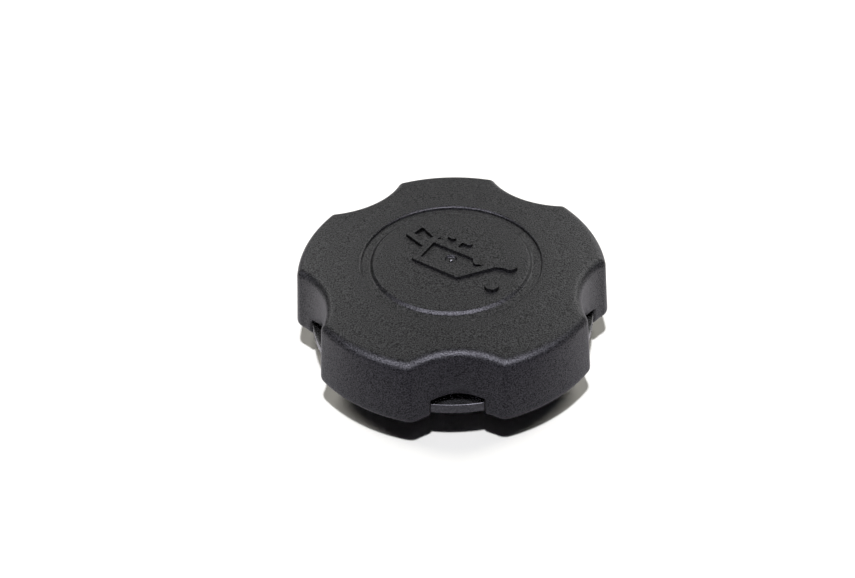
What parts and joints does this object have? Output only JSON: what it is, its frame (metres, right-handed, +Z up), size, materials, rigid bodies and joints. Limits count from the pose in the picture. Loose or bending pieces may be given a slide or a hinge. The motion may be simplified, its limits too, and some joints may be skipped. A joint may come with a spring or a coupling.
{
  "type": "oil filler cap",
  "caption": "Lobed hand cap that closes an engine's oil filler neck, with a raised oil can mark, a bayonet neck with lugs underneath and a flat rubber seal.",
  "frame": {"origin": "on the cap's axis, at the lower end of the bayonet neck", "axes": "+Z up the axis to the domed face, -Y to the middle of one scallop, +X completes the frame"},
  "size_m": [0.064, 0.0628, 0.0202],
  "materials": {
    "knob_nylon": "glass-filled nylon, spark-eroded grain on the top, matt",
    "insert_nylon": "glass-filled nylon, smooth from the mould, satin",
    "seal_rubber": "nitrile rubber, satin"
  },
  "bodies": {
    "root": {"knob": "knob_nylon", "bayonet_insert": "insert_nylon", "seal_ring": "seal_rubber"}
  },
  "joints": []
}
